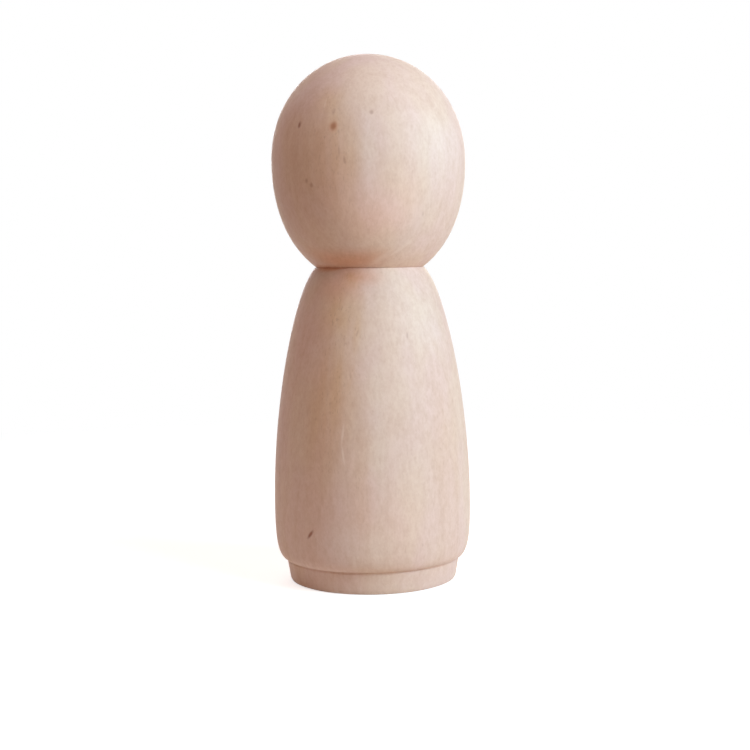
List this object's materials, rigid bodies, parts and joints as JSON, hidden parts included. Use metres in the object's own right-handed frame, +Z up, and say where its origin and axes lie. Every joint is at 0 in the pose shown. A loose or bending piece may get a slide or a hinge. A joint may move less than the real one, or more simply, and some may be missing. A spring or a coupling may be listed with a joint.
{
  "type": "peg doll",
  "caption": "Plain turned wooden peg doll: a bell-shaped body on a stepped foot, with an egg-shaped blank head that turns on a hidden neck dowel.",
  "frame": {"origin": "centre of the foot's flat underside, on the floor", "axes": "+Z up along the axis the doll was turned on, -Y towards the viewer of the picture"},
  "size_m": [0.0378, 0.0378, 0.1],
  "materials": {
    "body_wood": "bare sanded wood, fine pale grain",
    "head_wood": "bare sanded wood, fine pale grain",
    "dowel_wood": "bare smooth hardwood dowel"
  },
  "bodies": {
    "body": {"body": "body_wood", "neck_dowel": "dowel_wood"},
    "head": {"head": "head_wood"}
  },
  "joints": [
    {"name": "head_turn", "type": "hinge", "parent": "body", "child": "head", "pos_m": [0, 0, 0.06], "axis": [0, 0, 1], "continuous": true}
  ]
}
